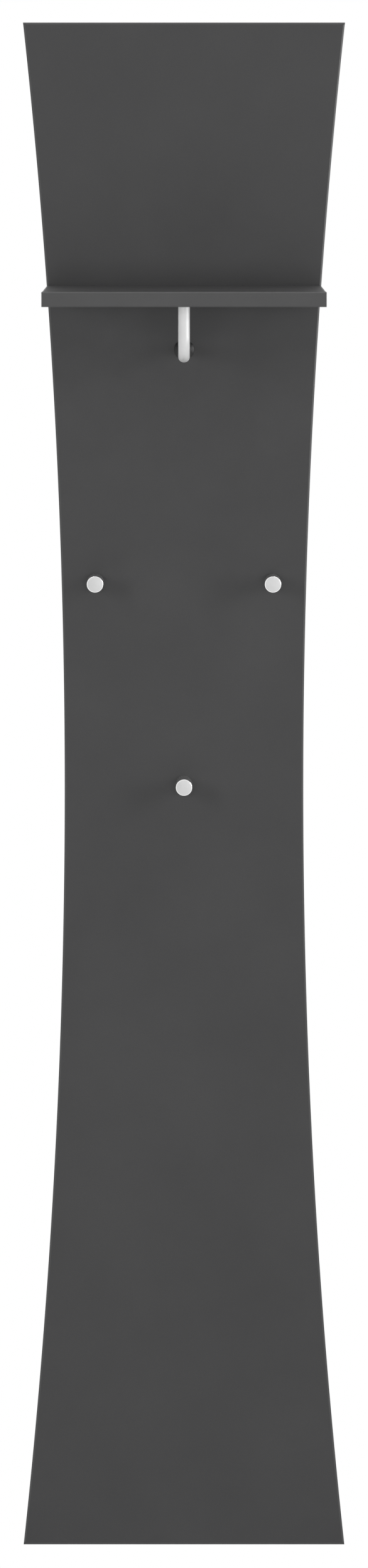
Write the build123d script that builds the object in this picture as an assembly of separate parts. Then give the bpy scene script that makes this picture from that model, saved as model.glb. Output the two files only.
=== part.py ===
from build123d import *
import os
from math import asin, degrees, sqrt

# Wall-hung coat rack: a tall waisted panel that carries a hat shelf, a bent hanger rail and three pegs.
# Millimetres. +X is the viewer's right, +Z is up and the front faces -Y. The panel's back lies on the
# wall plane Y = 0, and the origin is midway between the two keyholes that hang the panel on its screws.

# Panel: one board, drawn in at the waist by the same circular arc on both long sides
panel_height = 1900.0
panel_end_width = 400.0
panel_waist_width = 297.0
board_thickness = 18.0

# Plastic edging on every edge of the boards that shows, its outer arrises bevelled
edging_thickness = 2.0
edging_bevel = 1.0

# Hat shelf, as wide as the panel is where they meet; drops are measured from the panel's top edge
shelf_depth = 230.0
shelf_drop = 327.0

# Shelf fixings: screws through the panel from behind, and dowels between them
shelf_screw_pitch = 250.0
shelf_screw_diameter = 7.0
shelf_screw_head_diameter = 12.0
shelf_screw_length = 50.0
dowel_pitch = 130.0
dowel_diameter = 8.0
dowel_length = 36.0
dowel_in_panel = 11.0

# Hanger rail: a round bar plugged into the shelf's underside and bent once to run back to the panel
rail_diameter = 14.0
rail_setback = 28.0
rail_drop = 62.0
rail_bend_radius = 25.0
rail_socket_depth = 10.0
rail_screw_diameter = 6.0
rail_screw_head_diameter = 12.0
rail_screw_length = 32.0

# Cover ring round the rail's foot
rosette_diameter = 25.0
rosette_thickness = 3.0

# Pegs: turned bars with a bevelled rim, each held by one screw from behind
peg_diameter = 20.5
peg_length = 38.0
peg_rim_bevel = 1.0
peg_spacing = 220.0
upper_peg_drop = 696.0
lower_peg_drop = 948.0
peg_screw_diameter = 5.0
peg_screw_head_diameter = 10.0
peg_screw_length = 30.0

# Keyhole caps pressed flush into bores in the panel's back, hollow for the heads of two wall screws
hanger_drop = 100.0
hanger_spacing = 240.0
cap_diameter = 25.0
cap_depth = 10.0
cap_wall = 1.5
cap_face_thickness = 2.0
keyhole_entry_diameter = 10.0
keyhole_slot_width = 5.2
keyhole_rise = 10.0

# Clearances: round a screw, dowel, bar or cap in its hole, and past the end of whatever is plugged in
fit_clearance = 0.1
end_clearance = 1.0

# Places worked out from the sizes above
panel_top = hanger_drop
panel_bottom = panel_top - panel_height
panel_middle = (panel_top + panel_bottom) / 2
panel_front = -board_thickness
sagitta = (panel_end_width - panel_waist_width) / 2
arc_radius = (panel_height**2 / 4 + sagitta**2) / (2 * sagitta)
arc_centre_x = panel_waist_width / 2 + arc_radius


def half_width(z, inset=0.0):
    """Half the panel's width at height z, measured to a line set in from its finished edge."""
    return arc_centre_x - sqrt((arc_radius + inset) ** 2 - (z - panel_middle) ** 2)


shelf_top = panel_top - shelf_drop
shelf_underside = shelf_top - board_thickness
shelf_middle = shelf_top - board_thickness / 2
shelf_front = panel_front - shelf_depth
shelf_width = 2 * half_width(shelf_top)
shelf_screw_places = [(side * shelf_screw_pitch / 2, shelf_middle) for side in (-1, 1)]
dowel_places = [(side * dowel_pitch / 2, shelf_middle) for side in (-1, 1)]
rail_y = shelf_front + rail_setback
rail_z = shelf_underside - rail_drop
rail_places = [(0.0, rail_z)]
peg_places = {
    "upper_left_peg": (-peg_spacing / 2, panel_top - upper_peg_drop),
    "upper_right_peg": (peg_spacing / 2, panel_top - upper_peg_drop),
    "lower_peg": (0.0, panel_top - lower_peg_drop),
}
cap_places = {
    "left_keyhole_cap": (-hanger_spacing / 2, 0.0),
    "right_keyhole_cap": (hanger_spacing / 2, 0.0),
}


# Shapes that are turned or drilled are drawn along Z, from the wall plane or a seat towards the front


def turned(*outline):
    """Solid of revolution about Z of a closed outline of (radius, height) points."""
    profile = Polyline(*[(radius, 0, height) for radius, height in outline], close=True)
    return revolve(make_face(profile), Axis.Z)


def rod(diameter, length, base=0.0):
    """Plain round bar that starts at the height of its base."""
    return extrude(Pos(0, 0, base) * Circle(diameter / 2), length)


def hole(diameter, depth, base=0.0):
    """Bore for a rod of this diameter, wider by the fit's clearance all round."""
    return rod(diameter + 2 * fit_clearance, depth, base)


def at_places(shape, places, y=0.0):
    """Copies of a shape, turned to face the front, one at each (x, z) place."""
    return [Pos(x, y, z) * Rot(90, 0, 0) * shape for x, z in places]


def group(solids):
    """Separate solids that share one node."""
    return Part() + list(solids)


# Screws with right-angled conical heads, flush with the panel's back; threads are left plain


def countersunk_screw(diameter, head_diameter, length):
    """Screw whose flat head lies on the wall plane."""
    shank = diameter / 2
    head = head_diameter / 2
    return turned((0, 0), (head, 0), (shank, head - shank), (shank, length), (0, length))


def countersunk_hole(diameter, head_diameter, length):
    """Seat for the head of that screw, and a bore that clears its shank and its end."""
    bore = diameter / 2 + fit_clearance
    head = head_diameter / 2
    depth = length + end_clearance
    return turned((0, 0), (head, 0), (bore, head - bore), (bore, depth), (0, depth))


shelf_screw_sizes = (shelf_screw_diameter, shelf_screw_head_diameter, shelf_screw_length)
rail_screw_sizes = (rail_screw_diameter, rail_screw_head_diameter, rail_screw_length)
peg_screw_sizes = (peg_screw_diameter, peg_screw_head_diameter, peg_screw_length)


# Boards and edging


def panel_outline(inset):
    """Face on the wall plane with one arc a side and flat ends, set in from the finished edge."""
    top = panel_top - inset
    bottom = panel_bottom + inset
    corner = half_width(top, inset)
    waist = half_width(panel_middle, inset)
    outline = [
        ThreePointArc((corner, bottom), (waist, panel_middle), (corner, top)),
        Line((corner, top), (-corner, top)),
        ThreePointArc((-corner, top), (-waist, panel_middle), (-corner, bottom)),
        Line((-corner, bottom), (corner, bottom)),
    ]
    return Plane.XZ * make_face(outline)


def panel_slab(inset):
    """Panel at its full thickness, set in from the finished edge all round."""
    return extrude(panel_outline(inset), board_thickness)


def bevelled(strip, outward):
    """Edging with the two long arrises of its outer face taken off."""
    face = strip.faces().sort_by(outward)[-1]
    return chamfer(face.edges().sort_by(SortBy.LENGTH)[-2:], edging_bevel)


def end_strips():
    """Edging on the panel's top and bottom, which runs right across and is trimmed to the panel's sides."""
    seat = panel_top - edging_thickness
    outline = Polyline(
        (-half_width(seat), seat),
        (half_width(seat), seat),
        (half_width(panel_top), panel_top),
        (-half_width(panel_top), panel_top),
        close=True,
    )
    top = bevelled(extrude(Plane.XZ * make_face(outline), board_thickness), Axis.Z)
    return {"top_edge_band": top, "bottom_edge_band": mirror(top, Plane.XY.offset(panel_middle))}


def long_strips():
    """Edging bent into the waist: its section turned about the arc's centre and cut square at both ends."""
    arc_axis = Axis((arc_centre_x, 0, panel_middle), (0, 1, 0))
    reach = panel_height / 2 - edging_thickness
    half_turn = degrees(asin(reach / (arc_radius + edging_thickness)))
    section = Pos(panel_waist_width / 2, panel_front / 2, panel_middle) * Rectangle(
        edging_thickness, board_thickness, align=(Align.MAX, Align.CENTER)
    )
    section = chamfer(section.vertices().sort_by(Axis.X)[-2:], edging_bevel)
    right = revolve(section.rotate(arc_axis, -half_turn), arc_axis, 2 * half_turn)
    return {"left_edge_band": mirror(right, Plane.YZ), "right_edge_band": right}


def shelf_slab():
    """Shelf board from the panel to its front edge, less its edging on the three sides that show."""
    size = (shelf_width - 2 * edging_thickness, shelf_depth - edging_thickness, board_thickness)
    return Pos(0, panel_front, shelf_top) * Box(*size, align=(Align.CENTER, Align.MAX, Align.MAX))


def shelf_strips():
    """Three strips: the front one runs right across the ends of the side ones."""
    side = Box(
        edging_thickness,
        shelf_depth - edging_thickness,
        board_thickness,
        align=(Align.MAX, Align.MAX, Align.MAX),
    )
    front = Box(shelf_width, edging_thickness, board_thickness, align=(Align.CENTER, Align.MIN, Align.MAX))
    right = bevelled(Pos(shelf_width / 2, panel_front, shelf_top) * side, Axis.X)
    return {
        "shelf_left_band": mirror(right, Plane.YZ),
        "shelf_right_band": right,
        "shelf_front_band": bevelled(Pos(0, shelf_front, shelf_top) * front, -Axis.Y),
    }


# Rail, cover ring and pegs


def hanger_rail():
    """Round bar with one bend, swept from its upper end in the shelf to its foot on the panel."""
    path = FilletPolyline(
        (0, rail_y, shelf_underside + rail_socket_depth),
        (0, rail_y, rail_z),
        (0, panel_front, rail_z),
        radius=rail_bend_radius,
    )
    return sweep(Plane(origin=path @ 0, z_dir=path % 0) * Circle(rail_diameter / 2), path)


def rail_socket():
    """Blind hole in the shelf's underside for the rail's upper end."""
    depth = rail_socket_depth + end_clearance
    return Pos(0, rail_y, 0) * hole(rail_diameter, depth, shelf_underside)


def rail_rosette():
    """Flat cover ring that slips over the rail and lies on the panel."""
    return rod(rosette_diameter, rosette_thickness) - hole(rail_diameter, rosette_thickness)


def peg():
    """Turned bar whose rim is bevelled all round."""
    radius = peg_diameter / 2
    return turned(
        (0, 0),
        (radius, 0),
        (radius, peg_length - peg_rim_bevel),
        (radius - peg_rim_bevel, peg_length),
        (0, peg_length),
    )


# Keyhole caps, drawn about the keyhole's round end with the slot rising along Y

cap_centre = Pos(0, keyhole_rise / 2, 0)


def keyhole_cap():
    """Steel cap with a keyhole: a wall screw's head goes in at the round end and rides up behind the slot."""
    shell = rod(cap_diameter, cap_depth) - rod(cap_diameter - 2 * cap_wall, cap_depth, cap_face_thickness)
    slot_end = Pos(0, keyhole_rise) * Circle(keyhole_slot_width / 2)
    slot = Pos(0, keyhole_rise / 2) * Rectangle(keyhole_slot_width, keyhole_rise) + slot_end
    keyhole = Circle(keyhole_entry_diameter / 2) + slot
    return cap_centre * shell - extrude(keyhole, cap_face_thickness)


# Assembly


def build_nodes():
    """Every physical piece, under its node's name."""
    dowel_start = board_thickness - dowel_in_panel
    dowel = rod(dowel_diameter, dowel_length, dowel_start)
    dowel_hole = hole(dowel_diameter, dowel_length + 2 * end_clearance, dowel_start - end_clearance)
    shelf_holes = at_places(countersunk_hole(*shelf_screw_sizes), shelf_screw_places)
    shelf_holes += at_places(dowel_hole, dowel_places)
    rail_holes = at_places(countersunk_hole(*rail_screw_sizes), rail_places)
    peg_holes = at_places(countersunk_hole(*peg_screw_sizes), peg_places.values())
    cap_bores = at_places(cap_centre * hole(cap_diameter, cap_depth), cap_places.values())

    nodes = {
        "back_panel": panel_slab(edging_thickness) - shelf_holes - rail_holes - peg_holes - cap_bores,
        **end_strips(),
        **long_strips(),
        "shelf_board": shelf_slab() - shelf_holes - rail_socket(),
        **shelf_strips(),
        "shelf_screws": group(at_places(countersunk_screw(*shelf_screw_sizes), shelf_screw_places)),
        "shelf_dowels": group(at_places(dowel, dowel_places)),
        "hanger_rail": hanger_rail() - rail_holes,
        "rail_rosette": group(at_places(rail_rosette(), rail_places, panel_front)),
        "rail_screw": group(at_places(countersunk_screw(*rail_screw_sizes), rail_places)),
        "peg_screws": group(at_places(countersunk_screw(*peg_screw_sizes), peg_places.values())),
    }
    for name, place in peg_places.items():
        nodes[name] = group(at_places(peg(), [place], panel_front)) - peg_holes
    for name, place in cap_places.items():
        nodes[name] = group(at_places(keyhole_cap(), [place]))
    return nodes


os.makedirs("parts", exist_ok=True)
for name, shape in build_nodes().items():
    export_step(shape, f"parts/{name}.step")
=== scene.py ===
from math import asin, cos, pi, radians, sin, sqrt, tan
import bmesh
import bpy
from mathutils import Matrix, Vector


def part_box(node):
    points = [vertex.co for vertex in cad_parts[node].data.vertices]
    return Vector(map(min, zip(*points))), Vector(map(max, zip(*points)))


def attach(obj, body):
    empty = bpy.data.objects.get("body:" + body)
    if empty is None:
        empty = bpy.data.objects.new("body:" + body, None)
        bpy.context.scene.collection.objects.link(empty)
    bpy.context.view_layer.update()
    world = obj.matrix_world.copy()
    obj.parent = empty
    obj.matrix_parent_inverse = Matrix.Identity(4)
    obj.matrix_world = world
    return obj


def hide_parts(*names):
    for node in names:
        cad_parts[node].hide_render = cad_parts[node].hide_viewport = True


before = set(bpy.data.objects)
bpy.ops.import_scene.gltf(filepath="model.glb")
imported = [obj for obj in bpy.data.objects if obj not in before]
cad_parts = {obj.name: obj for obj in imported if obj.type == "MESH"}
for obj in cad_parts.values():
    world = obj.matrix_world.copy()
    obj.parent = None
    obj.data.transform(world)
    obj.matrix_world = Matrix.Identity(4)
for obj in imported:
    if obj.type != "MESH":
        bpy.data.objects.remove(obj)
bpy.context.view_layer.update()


# Back panel: one tall board of 18 mm chipboard, faced on both sides with matt anthracite melamine
# that is pressed with a fine pearl grain. Bare chips show in its bores and along its sawn edges.

board_thickness = 0.018
facing_thickness = 0.0002
panel_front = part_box("back_panel")[0][1]


def add(tree, kind, inputs=None, **settings):
    """One node of a tree, with its settings made and its inputs set or linked."""
    node = tree.nodes.new(kind)
    for name, value in settings.items():
        setattr(node, name, value)
    for name, value in (inputs or {}).items():
        if isinstance(value, bpy.types.NodeSocket):
            tree.links.new(value, node.inputs[name])
        else:
            node.inputs[name].default_value = value
    return node


def new_finish(name, **sockets):
    """A material with one shader whose plain values are set here.

    Gives the material, its tree, its shader and its Object coordinates.
    """
    finish = bpy.data.materials.new(name)
    finish.use_nodes = True
    tree = finish.node_tree
    tree.nodes.clear()
    plain_values = {socket.replace("_", " "): value for socket, value in sockets.items()}
    shader = add(tree, "ShaderNodeBsdfPrincipled", plain_values)
    add(tree, "ShaderNodeOutputMaterial", {"Surface": shader.outputs["BSDF"]})
    place = add(tree, "ShaderNodeTexCoord").outputs["Object"]
    return finish, tree, shader, place


def noise(tree, place, to_the_metre, detail=2.0, stretch=(1, 1, 1)):
    """Cloudy pattern with so many clouds to the metre, drawn out along an axis where stretch is small."""
    mapped = add(tree, "ShaderNodeMapping", {"Vector": place, "Scale": stretch}).outputs["Vector"]
    clouds = {"Vector": mapped, "Scale": to_the_metre, "Detail": detail}
    return add(tree, "ShaderNodeTexNoise", clouds).outputs["Fac"]


def ramp(tree, factor, *stops):
    """Colours or greys along a factor, as (place, colour) stops."""
    node = add(tree, "ShaderNodeValToRGB", {"Fac": factor})
    marks = node.color_ramp.elements
    while len(marks) < len(stops):
        marks.new(1.0)
    for mark, (place, colour) in zip(marks, stops):
        mark.position = place
        mark.color = (*colour, 1) if isinstance(colour, tuple) else (colour, colour, colour, 1)
    return node.outputs["Color"]


def spread(tree, pattern, low, high, ends=(0.3, 0.7)):
    """One colour or grey that turns into another as a pattern goes from the first end to the second."""
    return ramp(tree, pattern, (ends[0], low), (ends[1], high))


def mix(tree, kind, factor, a, b):
    """Two colours put together by a factor."""
    sockets = {0: factor, 6: a, 7: b}
    return add(tree, "ShaderNodeMix", sockets, data_type="RGBA", blend_type=kind).outputs[2]


def within(tree, value, middle, reach):
    """1 where a value lies within reach of the middle, and 0 elsewhere."""
    return add(tree, "ShaderNodeMath", {0: value, 1: middle, 2: reach}, operation="COMPARE").outputs[0]


def relief(tree, pattern, strength, height):
    """Fine relief that a pattern raises by up to this height."""
    bump = {"Strength": strength, "Distance": height, "Height": pattern}
    return add(tree, "ShaderNodeBump", bump).outputs["Normal"]


def coat(tree, shader, **patterns):
    """Lay patterns over a shader, each on the socket that it is named for."""
    for socket, pattern in patterns.items():
        tree.links.new(pattern, shader.inputs[socket.replace("_", " ")])


def faced_board(name, across, middle):
    """Melamine on chipboard, with bare chips between its two faces.

    The faces lie half a board from the middle, along the axis that runs across the board.
    """
    dark_anthracite = (0.0475, 0.0475, 0.0482)
    light_anthracite = (0.0530, 0.0530, 0.0536)
    dark_chip = (0.20, 0.12, 0.06)
    brown_chip = (0.42, 0.29, 0.16)
    light_chip = (0.58, 0.44, 0.27)
    chip_roughness = (0.9, 0.9, 0.9, 1)
    chips_to_the_metre = 420.0
    pearls_to_the_metre = 1500.0
    finish, tree, shader, place = new_finish(name, Specular_IOR_Level=0.3)
    clouds = spread(tree, noise(tree, place, to_the_metre=7.0), dark_anthracite, light_anthracite)
    dust = noise(tree, place, to_the_metre=2400.0, detail=1.0)
    specks = spread(tree, dust, 0.80, 1.0, ends=(0.35, 0.65))
    melamine = mix(tree, "MULTIPLY", 1.0, clouds, specks)
    cells = add(tree, "ShaderNodeTexVoronoi", {"Vector": place, "Scale": chips_to_the_metre})
    tone = add(tree, "ShaderNodeSeparateColor", {"Color": cells.outputs["Color"]}).outputs["Red"]
    chips = ramp(tree, tone, (0.0, dark_chip), (0.5, brown_chip), (1.0, light_chip))
    depth = add(tree, "ShaderNodeSeparateXYZ", {"Vector": place}).outputs[across]
    core = within(tree, depth, middle, board_thickness / 2 - facing_thickness)
    sheen = spread(tree, noise(tree, place, to_the_metre=38.0, detail=4.0), 0.44, 0.54)
    beads = {"Vector": place, "Scale": pearls_to_the_metre}
    pearls = add(tree, "ShaderNodeTexVoronoi", beads, feature="SMOOTH_F1").outputs["Distance"]
    coat(
        tree,
        shader,
        Base_Color=mix(tree, "MIX", core, melamine, chips),
        Roughness=mix(tree, "MIX", core, sheen, chip_roughness),
        Normal=relief(tree, pearls, strength=0.18, height=0.00012),
    )
    return finish


def refinish(node, finish):
    """Put a finish on a CAD node that is shown as it is."""
    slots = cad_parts[node].data.materials
    slots.clear()
    slots.append(finish)


refinish("back_panel", faced_board("panel_melamine", "Y", -board_thickness / 2))


# Edging: 2 mm ABS strip in the boards' own anthracite, glued on with hot melt and trimmed square at its
# ends. A cutter bevels the long arrises, more on the panel's bent sides, and a scraper softens them. The
# strip stands a hair proud of the melamine.

edging_thickness = 0.002
edging_sizes = {
    "Thickness": edging_thickness,
    "Board": board_thickness,
    "Bevel": 0.0010,
    "Ease": 0.0004,
    "Sunk": 0.0005,
    "Proud": 0.00003,
}
bent_edging_sizes = {**edging_sizes, "Bevel": 0.0018}


def stippled_edging():
    """Extruded plastic with a fine stipple, slightly silkier than the board's face."""
    dark_anthracite = (0.0410, 0.0410, 0.0415)
    light_anthracite = (0.0465, 0.0465, 0.0470)
    finish, tree, shader, place = new_finish("anthracite_edging", Specular_IOR_Level=0.5)
    clouds = noise(tree, place, to_the_metre=22.0)
    rubbing = noise(tree, place, to_the_metre=300.0, detail=3.0)
    stipple = noise(tree, place, to_the_metre=1800.0, detail=1.0)
    coat(
        tree,
        shader,
        Base_Color=spread(tree, clouds, dark_anthracite, light_anthracite),
        Roughness=spread(tree, rubbing, 0.34, 0.44),
        Normal=relief(tree, stipple, strength=0.12, height=0.0001),
    )
    return finish


edging_finish = stippled_edging()


def new_tree(name, *sizes):
    """A Geometry Nodes tree that takes a start shape and a named number for each size."""
    tree = bpy.data.node_groups.new(name, "GeometryNodeTree")
    tree.interface.new_socket("Start", in_out="INPUT", socket_type="NodeSocketGeometry")
    for size in sizes:
        tree.interface.new_socket(size, in_out="INPUT", socket_type="NodeSocketFloat")
    tree.interface.new_socket("Made", in_out="OUTPUT", socket_type="NodeSocketGeometry")
    return tree, tree.nodes.new("NodeGroupInput").outputs


def end_tree(tree, made, finish):
    """Close a tree: loose copies become real, and the finish goes on."""
    real = add(tree, "GeometryNodeRealizeInstances", {"Geometry": made}).outputs["Geometry"]
    coated = add(tree, "GeometryNodeSetMaterial", {"Geometry": real, "Material": finish})
    add(tree, "NodeGroupOutput", {"Made": coated.outputs["Geometry"]})


def reckon(tree, kind, a, b):
    """What a sum of this kind makes of two numbers."""
    return add(tree, "ShaderNodeMath", {0: a, 1: b}, operation=kind).outputs[0]


def point(tree, x=0.0, y=0.0, z=0.0):
    """A place or a size along the three axes."""
    return add(tree, "ShaderNodeCombineXYZ", {"X": x, "Y": y, "Z": z}).outputs["Vector"]


def carried(tree, section, path):
    """A section carried along a path, with its two ends closed."""
    sweep = {"Curve": path, "Profile Curve": section, "Fill Caps": True}
    return add(tree, "GeometryNodeCurveToMesh", sweep).outputs["Mesh"]


def welded(tree, mesh, gap=1e-6):
    """A mesh whose points are joined where they lie closer than a gap."""
    joined = add(tree, "GeometryNodeMergeByDistance", {"Geometry": mesh, "Distance": gap})
    return joined.outputs["Geometry"]


def made_by(tree, name, points, edges, sizes, sharp=40):
    """Run a tree on start points and edges, and keep the result as a plain mesh.

    The mesh takes its place from the points. Its edges show as sharp from so many degrees.
    """
    start = bpy.data.meshes.new(name)
    start.from_pydata(points, edges, [])
    piece = bpy.data.objects.new(name, start)
    bpy.context.scene.collection.objects.link(piece)
    modifier = piece.modifiers.new(tree.name, "NODES")
    modifier.node_group = tree
    for socket in tree.interface.items_tree:
        if socket.name in sizes:
            modifier[socket.identifier] = sizes[socket.name]
    ready = piece.evaluated_get(bpy.context.evaluated_depsgraph_get())
    made = bpy.data.meshes.new_from_object(ready)
    piece.modifiers.remove(modifier)
    piece.data = made
    for slot in reversed(range(len(made.materials))):
        if made.materials[slot] is None:
            made.materials.pop(index=slot)
    made.shade_smooth()
    made.set_sharp_from_angle(angle=radians(sharp))
    return piece


def fit(piece, slot, *nodes):
    """Fix a finished piece to the panel in place of its CAD nodes."""
    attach(piece, "root")
    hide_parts(*nodes)


def edging_tree(name, across):
    """Strip whose section is carried along a path, its outer arrises bevelled and then eased.

    The axis across runs through the board's thickness. A fillet of one step is a flat bevel.
    """
    tree, size = new_tree(name, *edging_sizes)
    inner = reckon(tree, "MULTIPLY", size["Sunk"], -1.0)
    back = reckon(tree, "MULTIPLY", size["Board"], -1.0)
    far = reckon(tree, "SUBTRACT", back, size["Proud"])
    corners = {
        "Point 1": point(tree, inner, far),
        "Point 2": point(tree, size["Thickness"], far),
        "Point 3": point(tree, size["Thickness"], size["Proud"]),
        "Point 4": point(tree, inner, size["Proud"]),
    }
    section = add(tree, "GeometryNodeCurvePrimitiveQuadrilateral", corners, mode="POINTS").outputs["Curve"]
    position = add(tree, "GeometryNodeInputPosition").outputs["Position"]
    from_seam = add(tree, "ShaderNodeSeparateXYZ", {"Vector": position}).outputs["X"]
    outer = reckon(tree, "GREATER_THAN", from_seam, 0.0)
    for cut, steps in ((size["Bevel"], 1), (size["Ease"], 4)):
        arris = {"Curve": section, "Count": steps, "Radius": reckon(tree, "MULTIPLY", outer, cut)}
        section = add(tree, "GeometryNodeFilletCurve", arris, mode="POLY").outputs["Curve"]
    path = add(tree, "GeometryNodeMeshToCurve", {"Mesh": size["Start"]}).outputs["Curve"]
    along = add(tree, "GeometryNodeInputTangent").outputs["Tangent"]
    outward = add(tree, "ShaderNodeVectorMath", {0: across, 1: along}, operation="CROSS_PRODUCT")
    aim = {"Curve": path, "Normal": outward.outputs["Vector"]}
    aimed = add(tree, "GeometryNodeSetCurveNormal", aim, mode="FREE").outputs["Curve"]
    end_tree(tree, welded(tree, carried(tree, section, aimed)), edging_finish)
    return tree


panel_edging = edging_tree("panel_edging", (0, 1, 0))

panel_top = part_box("top_edge_band")[1][2]
panel_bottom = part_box("bottom_edge_band")[0][2]
panel_middle = (panel_top + panel_bottom) / 2
panel_waist = 0.297
half_height = (panel_top - panel_bottom) / 2
half_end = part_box("top_edge_band")[1][0]
half_waist = panel_waist / 2
sagitta = half_end - half_waist
arc_radius = (half_height**2 + sagitta**2) / (2 * sagitta)
arc_centre = half_waist + arc_radius
arc_steps = 80


def side_path(side):
    """Board's edge under a long strip: upwards on the right, where side is 1, and downwards on the left."""
    seat = arc_radius + edging_thickness
    half_turn = asin((half_height - edging_thickness) / seat)
    turns = [half_turn * (2 * i / arc_steps - 1) for i in range(arc_steps + 1)]
    return [(side * (arc_centre - seat * cos(t)), 0, panel_middle + side * seat * sin(t)) for t in turns]


def end_path(side):
    """Board's edge under an end strip: leftwards at the top, where side is 1, and rightwards below."""
    height = panel_middle + side * (half_height - edging_thickness)
    return [(side * half_end, 0, height), (-side * half_end, 0, height)]


def in_line(points):
    """Edges that join points one after another."""
    return [(i, i + 1) for i in range(len(points) - 1)]


def trim_to_sides(strip):
    """Cut the ends of an end strip to the panel's bent sides."""
    for vertex in strip.data.vertices:
        height = min(abs(vertex.co.z - panel_middle), half_height)
        side = arc_centre - sqrt(arc_radius**2 - height**2)
        vertex.co.x = side if vertex.co.x > 0 else -side


for node, side in (("right_edge_band", 1), ("left_edge_band", -1)):
    path = side_path(side)
    name = node.replace("_edge_band", "_edging")
    strip = made_by(panel_edging, name, path, in_line(path), bent_edging_sizes)
    fit(strip, "edging", node)

for node, side in (("top_edge_band", 1), ("bottom_edge_band", -1)):
    path = end_path(side)
    name = node.replace("_edge_band", "_edging")
    strip = made_by(panel_edging, name, path, in_line(path), edging_sizes)
    trim_to_sides(strip)
    fit(strip, "edging", node)


# Hat shelf: a second piece of the same board, butted against the panel's face and edged on the three
# sides that show. The front strip runs across the ends of the side ones.

shelf_low, shelf_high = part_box("shelf_board")
shelf_right, shelf_rear, shelf_top = shelf_high
shelf_front = shelf_low[1]
shelf_middle = (shelf_low[2] + shelf_top) / 2
front_strip_end = shelf_right + edging_thickness
refinish("shelf_board", faced_board("shelf_melamine", "Z", shelf_middle))
shelf_edging = edging_tree("shelf_edging", (0, 0, 1))
shelf_paths = {
    "shelf_right_band": [(shelf_right, shelf_rear, shelf_top), (shelf_right, shelf_front, shelf_top)],
    "shelf_front_band": [
        (front_strip_end, shelf_front, shelf_top),
        (-front_strip_end, shelf_front, shelf_top),
    ],
    "shelf_left_band": [(-shelf_right, shelf_front, shelf_top), (-shelf_right, shelf_rear, shelf_top)],
}
for node, path in shelf_paths.items():
    name = node.replace("_band", "_edging")
    strip = made_by(shelf_edging, name, path, in_line(path), edging_sizes)
    fit(strip, "edging", node)


# Shelf dowels: two fluted beech pins, glued into the panel and the shelf's rear edge between the screws.
# They keep the shelf from turning, and are out of sight.


def raw_beech():
    """Pale wood with its grain along the pin and short dark flecks."""
    dark_wood = (0.50, 0.33, 0.19)
    pale_wood = (0.62, 0.44, 0.27)
    fleck_shade = (0.62, 0.50, 0.42)
    clear = (1.0, 1.0, 1.0)
    finish, tree, shader, place = new_finish("raw_beech", Roughness=0.62)
    grain = noise(tree, place, to_the_metre=900.0, detail=3.0, stretch=(1, 0.05, 1))
    dashes = noise(tree, place, to_the_metre=1600.0, detail=1.0, stretch=(1, 0.2, 1))
    wood = spread(tree, grain, dark_wood, pale_wood)
    flecks = spread(tree, dashes, fleck_shade, clear, ends=(0.36, 0.42))
    coat(
        tree,
        shader,
        Base_Color=mix(tree, "MULTIPLY", 1.0, wood, flecks),
        Normal=relief(tree, grain, strength=0.3, height=0.0002),
    )
    return finish


refinish("shelf_dowels", raw_beech())


# Hanger rail: a 14 mm round steel bar, bent once over a 25 mm former, ground satin and sealed with a matt
# lacquer. Its upper end is plugged into the shelf's underside and its foot is screwed on from behind.

rail_low, rail_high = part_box("hanger_rail")
rail_diameter = rail_high[0] - rail_low[0]
rail_sizes = {"Diameter": rail_diameter, "Bend": 0.025}
bend_steps = 28
bar_sides = 72


def satin_steel(name, tone, metallic, roughness, stretch):
    """Ground steel with fine hairlines, drawn out along the axes where stretch is small."""
    tone_play = 0.02
    roughness_play = 0.05
    finish, tree, shader, place = new_finish(name, Metallic=metallic, Specular_IOR_Level=0.5)
    hairlines = noise(tree, place, to_the_metre=2600.0, stretch=stretch)
    patches = noise(tree, place, to_the_metre=60.0)
    smooth = roughness - roughness_play
    rough = roughness + roughness_play
    coat(
        tree,
        shader,
        Base_Color=spread(tree, patches, tone - tone_play, tone + tone_play),
        Roughness=spread(tree, hairlines, smooth, rough, ends=(0.25, 0.75)),
        Normal=relief(tree, hairlines, strength=0.10, height=0.00004),
    )
    return finish


def rail_tree(finish):
    """Round bar carried along a path whose corner is bent to a radius."""
    tree, size = new_tree("bent_bar", *rail_sizes)
    path = add(tree, "GeometryNodeMeshToCurve", {"Mesh": size["Start"]}).outputs["Curve"]
    bend = {"Curve": path, "Count": bend_steps, "Radius": size["Bend"]}
    bent = add(tree, "GeometryNodeFilletCurve", bend, mode="POLY").outputs["Curve"]
    radius = reckon(tree, "DIVIDE", size["Diameter"], 2.0)
    section = add(tree, "GeometryNodeCurvePrimitiveCircle", {"Resolution": bar_sides, "Radius": radius})
    end_tree(tree, carried(tree, section.outputs["Curve"], bent), finish)
    return tree


rail_decimals = 4
rail_y = round(rail_low[1] + rail_diameter / 2, rail_decimals)
rail_z = round(rail_low[2] + rail_diameter / 2, rail_decimals)
rail_path = [(0, rail_y, rail_high[2]), (0, rail_y, rail_z), (0, panel_front, rail_z)]
rail_finish = satin_steel("satin_rail", tone=0.62, metallic=0.25, roughness=0.48, stretch=(1, 0.06, 0.06))
rail = made_by(rail_tree(rail_finish), "bent_hanger_rail", rail_path, in_line(rail_path), rail_sizes)
fit(rail, "satin_metal", "hanger_rail")


# Rail rosette: a coned ring moulded in dark plastic, slipped over the rail's foot until its thin lip lies
# on the panel. It hides the gap round the bar.


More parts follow.
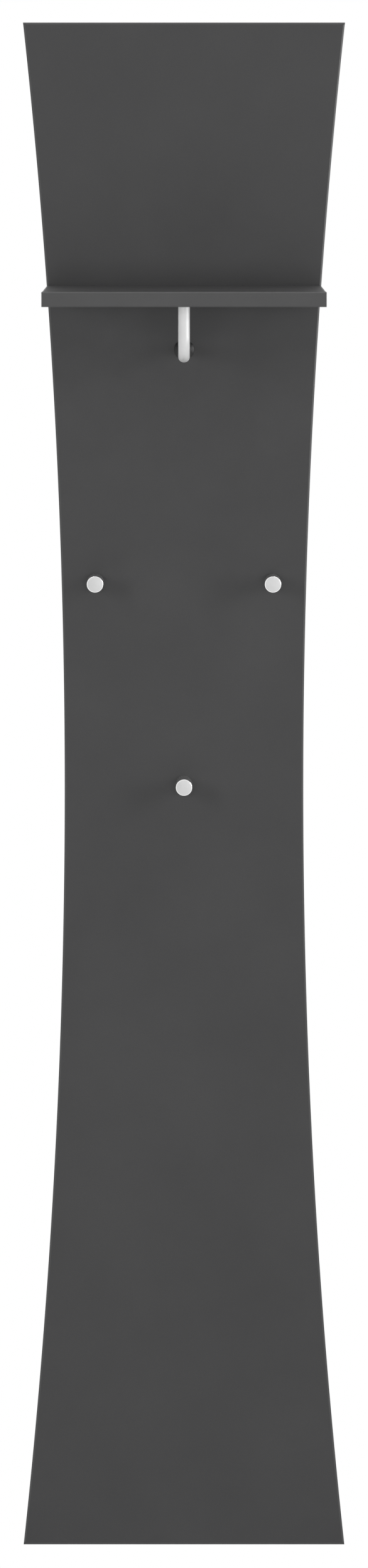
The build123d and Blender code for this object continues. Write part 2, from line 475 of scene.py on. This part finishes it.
def moulded_plastic():
    """Dark plastic with the grain of a spark-eroded mould."""
    near_black = (0.014, 0.014, 0.0143)
    charcoal = (0.020, 0.020, 0.0203)
    finish, tree, shader, place = new_finish("moulded_plastic", Specular_IOR_Level=0.28)
    clouds = noise(tree, place, to_the_metre=260.0)
    erosion = noise(tree, place, to_the_metre=4200.0)
    coat(
        tree,
        shader,
        Base_Color=spread(tree, clouds, near_black, charcoal),
        Roughness=spread(tree, erosion, 0.30, 0.40),
        Normal=relief(tree, erosion, strength=0.2, height=0.00005),
    )
    return finish


def round_sizes(nodes):
    """Radius and length of like round nodes that point out of the wall, and where their rear ends are."""
    boxes = [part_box(node) for node in nodes]
    first_low, first_high = boxes[0]
    radius = (first_high[0] - first_low[0]) / 2
    length = first_high[1] - first_low[1]
    rear_ends = [((low[0] + high[0]) / 2, high[1], (low[2] + high[2]) / 2) for low, high in boxes]
    return radius, length, rear_ends


def rounded(outline, radius, corners, steps=6):
    """A closed outline of (radius, height) points with some of its corners rounded."""
    made = []
    for i, here in enumerate(outline):
        here = Vector(here)
        if i not in corners:
            made.append(here)
            continue
        before = (Vector(outline[i - 1]) - here).normalized()
        after = (Vector(outline[(i + 1) % len(outline)]) - here).normalized()
        half = before.angle(after) / 2
        reach = radius / tan(half)
        centre = here + (before + after).normalized() * (radius / sin(half))
        start = here + before * reach - centre
        end = here + after * reach - centre
        made += [centre + start.slerp(end, k / steps) * radius for k in range(steps + 1)]
    return made


def turned(name, outline, finish, steps=96, sharp=30):
    """A mesh about the origin, spun from (radius, height) points about a line out of the wall."""
    bm = bmesh.new()
    turns = [2 * pi * i / steps for i in range(steps)]
    rings = []
    for radius, height in outline:
        if radius == 0:
            rings.append([bm.verts.new((0, -height, 0))] * steps)
        else:
            rings.append([bm.verts.new((radius * cos(t), -height, radius * sin(t))) for t in turns])
    for ring, following in zip(rings, rings[1:] + rings[:1]):
        for i in range(steps):
            j = (i + 1) % steps
            face = list(dict.fromkeys((ring[i], ring[j], following[j], following[i])))
            if len(face) > 2:
                bm.faces.new(face)
    bmesh.ops.recalc_face_normals(bm, faces=bm.faces)
    made = bpy.data.meshes.new(name)
    bm.to_mesh(made)
    bm.free()
    made.materials.append(finish)
    made.shade_smooth()
    made.set_sharp_from_angle(angle=radians(sharp))
    return made


def stand(mesh, name, place):
    """An object for a mesh that was made about the origin, moved to its place in the mesh itself."""
    for vertex in mesh.vertices:
        vertex.co += Vector(place)
    piece = bpy.data.objects.new(name, mesh)
    bpy.context.scene.collection.objects.link(piece)
    return piece


ring_rim, ring_height, _ = round_sizes(["rail_rosette"])
ring_play = 0.0001
ring_bore = rail_diameter / 2 + ring_play
ring_lip = 0.0008
ring_collar = 0.0008
ring_edge = 0.0005
ring_outline = [
    (ring_bore, 0),
    (ring_rim, 0),
    (ring_rim, ring_lip),
    (ring_bore + ring_collar, ring_height),
    (ring_bore, ring_height),
]
lip_corner = 2
collar_corner = 3
ring_section = rounded(ring_outline, ring_edge, (lip_corner, collar_corner))
ring = turned("rail_rosette_ring", ring_section, moulded_plastic())
rosette = stand(ring, "rail_rosette_ring", (0, panel_front, rail_z))
fit(rosette, "dark_plastic", "rail_rosette")


# Pegs: three short bars turned from the same steel, with slightly crowned satin faces, smoother rims
# lightened by a painted highlight, and smoother, slightly darker sides. Each sits on the panel's face and
# is drawn tight by a screw from behind.

peg_nodes = ("upper_left_peg", "upper_right_peg", "lower_peg")
peg_radius, peg_length, peg_places = round_sizes(peg_nodes)
peg_foot = 0.0004
peg_crown = 0.0012
peg_rim = 0.0009
crown_steps = 12


def set_out(tree, shape, start):
    """A shape set at each start point."""
    spots = add(tree, "GeometryNodeMeshToPoints", {"Mesh": start}).outputs["Points"]
    copies = add(tree, "GeometryNodeInstanceOnPoints", {"Points": spots, "Instance": shape})
    return copies.outputs["Instances"]


def copies_tree(name, pattern):
    """Copies of a pattern, in the pattern's own finish."""
    tree, size = new_tree(name)
    shape = add(tree, "GeometryNodeObjectInfo", {"Object": pattern}).outputs["Geometry"]
    end_tree(tree, set_out(tree, shape, size["Start"]), pattern.data.materials[0])
    return tree


def retone_band(finish, front, back, tone, roughness):
    """Give a finish another tone and roughness between two depths, where the lathe has cut it smoother. A
    lighter tone there is a painted highlight.
    """
    tree = finish.node_tree
    shader = tree.nodes["Principled BSDF"]
    place = tree.nodes["Texture Coordinate"].outputs["Object"]
    depth = add(tree, "ShaderNodeSeparateXYZ", {"Vector": place}).outputs["Y"]
    band = within(tree, depth, (front + back) / 2, abs(front - back) / 2)
    for socket, value in (("Base Color", tone), ("Roughness", roughness)):
        plain = shader.inputs[socket].links[0].from_socket
        tree.links.new(mix(tree, "MIX", band, plain, (value, value, value, 1)), shader.inputs[socket])


peg_front = panel_front - peg_length
rim_front = peg_front + peg_crown * (1 - peg_rim / peg_radius) ** 2
rim_back = peg_front + peg_crown + peg_rim
peg_finish = satin_steel("satin_pegs", tone=0.65, metallic=0.85, roughness=0.5, stretch=(0.06, 1, 0.06))
retone_band(peg_finish, rim_back, panel_front, tone=0.60, roughness=0.24)
# The rims' lighter tone is a painted highlight, and their low roughness is the lathe's smoother cut.
retone_band(peg_finish, rim_front, rim_back, tone=0.92, roughness=0.16)

# The crown's step next to the rim is left out, where the rim's rounding takes its place.
crown_reaches = [1] + [i / crown_steps for i in range(crown_steps - 2, -1, -1)]
crown = [(peg_radius * t, peg_length - peg_crown * t**2) for t in crown_reaches]
peg_outline = [(0, 0), (peg_radius - peg_foot, 0), (peg_radius, peg_foot), *crown]
rim_corner = 3
peg_shape = turned("peg_shape", rounded(peg_outline, peg_rim, (rim_corner,)), peg_finish)
peg_pattern = stand(peg_shape, "peg_pattern", (0, 0, 0))
pegs = made_by(copies_tree("peg_copies", peg_pattern), "coat_pegs", peg_places, [], {}, sharp=30)
bpy.data.objects.remove(peg_pattern)
fit(pegs, "satin_metal", *peg_nodes)


# Screws: zinc-plated steel with flat countersunk heads and hexagon sockets, driven from behind until
# flush. Two hold the shelf, one the rail and one each peg.

shelf_screw = {"Shank": 0.007, "Head": 0.012, "Length": 0.050, "Pitch": 0.0030, "Key": 0.004}
rail_screw = {"Shank": 0.006, "Head": 0.012, "Length": 0.032, "Pitch": 0.0010, "Key": 0.004}
peg_screw = {"Shank": 0.005, "Head": 0.010, "Length": 0.030, "Pitch": 0.0008, "Key": 0.003}
shelf_screw_reach = 0.125
core_share = 0.42
ridge_share = 0.07
key_share = 1.4
head_sides = 48
core_sides = 32
thread_steps = 24
ridge_sides = 4
hexagon_sides = 6
screw_gap = 1e-5


def zinc_plate():
    """Bright zinc with a faint bluish passivation and fine handling marks."""
    blue_zinc = (0.56, 0.57, 0.60)
    grey_zinc = (0.66, 0.66, 0.66)
    finish, tree, shader, place = new_finish("bright_zinc", Metallic=1.0)
    clouds = noise(tree, place, to_the_metre=180.0, detail=3.0)
    marks = noise(tree, place, to_the_metre=1500.0, detail=4.0)
    coat(
        tree,
        shader,
        Base_Color=spread(tree, clouds, blue_zinc, grey_zinc),
        Roughness=spread(tree, marks, 0.28, 0.46),
        Normal=relief(tree, marks, strength=0.12, height=0.00004),
    )
    return finish


zinc = zinc_plate()


def moved(tree, shape, **changes):
    """A shape moved or turned."""
    return add(tree, "GeometryNodeTransform", {"Geometry": shape, **changes}).outputs["Geometry"]


def cut_out(tree, blank, *tools):
    """A closed mesh with other closed meshes cut out of it."""
    cut = add(tree, "GeometryNodeMeshBoolean", {"Mesh 1": blank}, operation="DIFFERENCE", solver="MANIFOLD")
    for tool in tools:
        tree.links.new(tool, cut.inputs["Mesh 2"])
    return cut.outputs["Mesh"]


def screw_tree():
    """Countersunk screw with a hexagon socket and a wound thread, driven forwards at each start point."""
    tree, size = new_tree("countersunk_screw", *shelf_screw)
    head_radius = reckon(tree, "DIVIDE", size["Head"], 2.0)
    core_radius = reckon(tree, "MULTIPLY", size["Shank"], core_share)
    ridge_radius = reckon(tree, "MULTIPLY", size["Shank"], ridge_share)
    head_depth = reckon(tree, "SUBTRACT", head_radius, core_radius)
    head_sizes = {
        "Vertices": head_sides,
        "Radius Top": core_radius,
        "Radius Bottom": head_radius,
        "Depth": head_depth,
    }
    head = add(tree, "GeometryNodeMeshCone", head_sizes).outputs["Mesh"]
    key_sizes = {
        "Vertices": hexagon_sides,
        "Radius": reckon(tree, "DIVIDE", size["Key"], sqrt(3)),
        "Depth": reckon(tree, "MULTIPLY", head_depth, key_share),
    }
    key = add(tree, "GeometryNodeMeshCylinder", key_sizes).outputs["Mesh"]
    core_length = reckon(tree, "SUBTRACT", size["Length"], head_depth)
    core_sizes = {"Vertices": core_sides, "Radius": core_radius, "Depth": core_length}
    core = add(tree, "GeometryNodeMeshCylinder", core_sizes).outputs["Mesh"]
    core_middle = reckon(tree, "ADD", head_depth, reckon(tree, "DIVIDE", core_length, 2.0))
    ridge_width = reckon(tree, "MULTIPLY", ridge_radius, 2.0)
    thread_length = reckon(tree, "SUBTRACT", core_length, ridge_width)
    spiral = {
        "Resolution": thread_steps,
        "Rotations": reckon(tree, "DIVIDE", thread_length, size["Pitch"]),
        "Start Radius": core_radius,
        "End Radius": core_radius,
        "Height": thread_length,
    }
    winding = add(tree, "GeometryNodeCurveSpiral", spiral).outputs["Curve"]
    ridge_sizes = {"Resolution": ridge_sides, "Radius": ridge_radius}
    ridge = add(tree, "GeometryNodeCurvePrimitiveCircle", ridge_sizes).outputs["Curve"]
    thread_start = reckon(tree, "ADD", head_depth, ridge_radius)
    parts = (
        cut_out(tree, head, key),
        moved(tree, core, Translation=point(tree, z=core_middle)),
        moved(tree, carried(tree, ridge, winding), Translation=point(tree, z=thread_start)),
    )
    whole = add(tree, "GeometryNodeMeshBoolean", operation="UNION", solver="MANIFOLD")
    for part in parts:
        tree.links.new(part, whole.inputs["Mesh 2"])
    screw = welded(tree, whole.outputs["Mesh"], screw_gap)
    driven = moved(tree, screw, Rotation=(pi / 2, 0, 0))
    end_tree(tree, set_out(tree, driven, size["Start"]), zinc)
    return tree


countersunk_screws = screw_tree()
shelf_screw_places = [(-shelf_screw_reach, 0, shelf_middle), (shelf_screw_reach, 0, shelf_middle)]
rail_screw_places = [(0, 0, rail_z)]
peg_screw_places = [(x, 0, z) for x, _, z in peg_places]
for node, places, sizes in (
    ("shelf_screws", shelf_screw_places, shelf_screw),
    ("rail_screw", rail_screw_places, rail_screw),
    ("peg_screws", peg_screw_places, peg_screw),
):
    screws = made_by(countersunk_screws, "threaded_" + node, places, [], sizes, sharp=30)
    fit(screws, "zinc_plate", node)


# Keyhole caps: two drawn steel caps pressed into bores in the panel's back until flush. The head of a
# wall screw goes in at the round end of the keyhole, and its shank rides up the slot.

cap_nodes = ("left_keyhole_cap", "right_keyhole_cap")
cap_radius, cap_depth, cap_places = round_sizes(cap_nodes)
cap_wall = 0.0015
cap_rim = 0.0006
cap_bore = cap_radius - cap_wall
keyhole_sizes = {"Entry": 0.010, "Slot": 0.0052, "Rise": 0.010, "Face": 0.002}
punch_share = 3.0
punch_sides = 64


def cap_tree(shell):
    """Drawn shell with a keyhole punched through its face, set at each start point."""
    tree, size = new_tree("keyhole_cap", *keyhole_sizes)
    blank = add(tree, "GeometryNodeObjectInfo", {"Object": shell}).outputs["Geometry"]
    punch_length = reckon(tree, "MULTIPLY", size["Face"], punch_share)
    upper_end = reckon(tree, "DIVIDE", size["Rise"], 2.0)
    lower_end = reckon(tree, "MULTIPLY", upper_end, -1.0)
    punches = []
    for width, height in ((size["Entry"], lower_end), (size["Slot"], upper_end)):
        radius = reckon(tree, "DIVIDE", width, 2.0)
        pin_sizes = {"Vertices": punch_sides, "Radius": radius, "Depth": punch_length}
        pin = add(tree, "GeometryNodeMeshCylinder", pin_sizes).outputs["Mesh"]
        punches.append(moved(tree, pin, Rotation=(pi / 2, 0, 0), Translation=point(tree, z=height)))
    slot_size = point(tree, size["Slot"], punch_length, size["Rise"])
    punches.append(add(tree, "GeometryNodeMeshCube", {"Size": slot_size}).outputs["Mesh"])
    cap = welded(tree, cut_out(tree, blank, *punches))
    end_tree(tree, set_out(tree, cap, size["Start"]), zinc)
    return tree


cap_outline = [
    (0, 0),
    (cap_radius - 2 * cap_rim, 0),
    (cap_radius, 0),
    (cap_radius, cap_depth),
    (cap_bore, cap_depth),
    (cap_bore, keyhole_sizes["Face"]),
    (0, keyhole_sizes["Face"]),
]
outer_corner = 2
cap_shape = turned("cap_shape", rounded(cap_outline, cap_rim, (outer_corner,)), zinc)
cap_pattern = stand(cap_shape, "cap_pattern", (0, 0, 0))
caps = made_by(cap_tree(cap_pattern), "keyhole_caps", cap_places, [], keyhole_sizes, sharp=30)
bpy.data.objects.remove(cap_pattern)
fit(caps, "zinc_plate", *cap_nodes)


# Studio: a pale floor below the hung panel that fades to white, and a white surround. The metal mirrors a
# soft lamp on the right; weaker fills stand left, in front, behind and above, and two strips only gleam on
# the arrises. The camera stands where the photograph's did.

floor_drop = 0.2
floor_reach = 14.0
floor_level = panel_bottom - floor_drop
floor_corners = ((-1, -1), (1, -1), (1, 1), (-1, 1))
floor_points = [(x * floor_reach, y * floor_reach, floor_level) for x, y in floor_corners]
floor_mesh = bpy.data.meshes.new("pale_floor")
floor_mesh.from_pydata(floor_points, [], [(0, 1, 2, 3)])
floor = bpy.data.objects.new("pale_floor", floor_mesh)
bpy.context.scene.collection.objects.link(floor)


def seen_rays(tree):
    """1 for rays that show a surface, straight, in gloss or through glass, and 0 for the rest."""
    rays = add(tree, "ShaderNodeLightPath").outputs
    seen = reckon(tree, "MAXIMUM", rays["Is Camera Ray"], rays["Is Glossy Ray"])
    return reckon(tree, "MAXIMUM", seen, rays["Is Transmission Ray"])


def floor_paint():
    """Matt off-white paint near the object, plain white further out."""
    under_panel = (0, -0.1, floor_level)
    finish, tree, shader, place = new_finish("floor_paint", Roughness=0.9, Specular_IOR_Level=0.1)
    clouds = noise(tree, place, to_the_metre=3.0, detail=4.0)
    coat(tree, shader, Base_Color=spread(tree, clouds, 0.80, 0.83))
    distance = add(tree, "ShaderNodeVectorMath", {0: place, 1: under_panel}, operation="DISTANCE")
    fade = {"Value": distance.outputs["Value"], "From Min": 0.2, "From Max": 0.5, "To Min": 0.6}
    away = add(tree, "ShaderNodeMapRange", fade, interpolation_type="SMOOTHSTEP").outputs["Result"]
    white = add(tree, "ShaderNodeEmission", {"Strength": 1.0}).outputs["Emission"]
    share = reckon(tree, "MULTIPLY", away, seen_rays(tree))
    both = add(tree, "ShaderNodeMixShader", {0: share, 1: shader.outputs["BSDF"], 2: white})
    tree.links.new(both.outputs["Shader"], tree.nodes["Material Output"].inputs["Surface"])
    return finish


floor_mesh.materials.append(floor_paint())

dome_strength = 0.17
world = bpy.data.worlds.new("white_surround")
world.use_nodes = True
sky = world.node_tree
sky.nodes.clear()
dome = add(sky, "ShaderNodeBackground", {"Color": (1, 1, 1, 1), "Strength": dome_strength})
backdrop = add(sky, "ShaderNodeBackground", {"Color": (1, 1, 1, 1), "Strength": 1.0})
shown = {0: seen_rays(sky), 1: dome.outputs["Background"], 2: backdrop.outputs["Background"]}
surround = add(sky, "ShaderNodeMixShader", shown)
add(sky, "ShaderNodeOutputWorld", {"Surface": surround.outputs["Shader"]})
bpy.context.scene.world = world


def soft_lamp(name, place, aim, size, power, mirrored=True, lights=True):
    """Rectangular lamp that faces its aim, out of the picture.

    A fill isn't mirrored in the pieces, and a strip is only mirrored and lights nothing.
    """
    lamp = bpy.data.lights.new(name, "AREA")
    lamp.shape = "RECTANGLE"
    lamp.size, lamp.size_y = size
    lamp.energy = power
    lamp_stand = bpy.data.objects.new(name, lamp)
    lamp_stand.location = place
    lamp_stand.rotation_euler = (Vector(aim) - Vector(place)).to_track_quat("-Z", "Y").to_euler()
    lamp_stand.visible_camera = False
    lamp_stand.visible_glossy = mirrored
    lamp_stand.visible_diffuse = lights
    bpy.context.scene.collection.objects.link(lamp_stand)


soft_lamp("right_lamp", (2.6, -1.25, 0.0), aim=(0, 0, -0.5), size=(0.8, 1.6), power=40.0)
soft_lamp("left_fill", (-2.1, -2.1, 0.1), aim=(0, 0, -0.5), size=(0.6, 1.2), power=30.0, mirrored=False)
soft_lamp("front_fill", (0, -4.5, -0.4), aim=(0, 0, -0.5), size=(2.0, 1.0), power=79.0, mirrored=False)
soft_lamp("rear_fill", (-1.5, 3.0, -0.3), aim=(0, 0, -0.7), size=(1.6, 1.6), power=60.0, mirrored=False)
soft_lamp("top_fill", (0, -0.2, 2.6), aim=(0, -0.2, 0.0), size=(0.6, 0.4), power=9.0, mirrored=False)
soft_lamp("top_strip", (0, -0.9, 1.5), aim=(0, -0.9, -0.2), size=(1.5, 1.2), power=12.0, lights=False)
soft_lamp("side_strip", (2.9, 0.3, 0.0), aim=(0, 0.3, -0.2), size=(2.0, 1.2), power=14.0, lights=False)

camera_distance = 6.109
camera_height = -0.0172
camera_tilt = radians(0.832)
camera = bpy.data.cameras.new("camera")
camera.sensor_width = 36.0
camera.lens = 112.78
camera.shift_y = -0.38
camera_stand = bpy.data.objects.new("camera", camera)
camera_stand.location = (0, panel_front - camera_distance, camera_height)
camera_stand.rotation_euler = (pi / 2 - camera_tilt, 0, 0)
bpy.context.scene.collection.objects.link(camera_stand)
bpy.context.scene.camera = camera_stand
bpy.context.scene.view_settings.view_transform = "Standard"
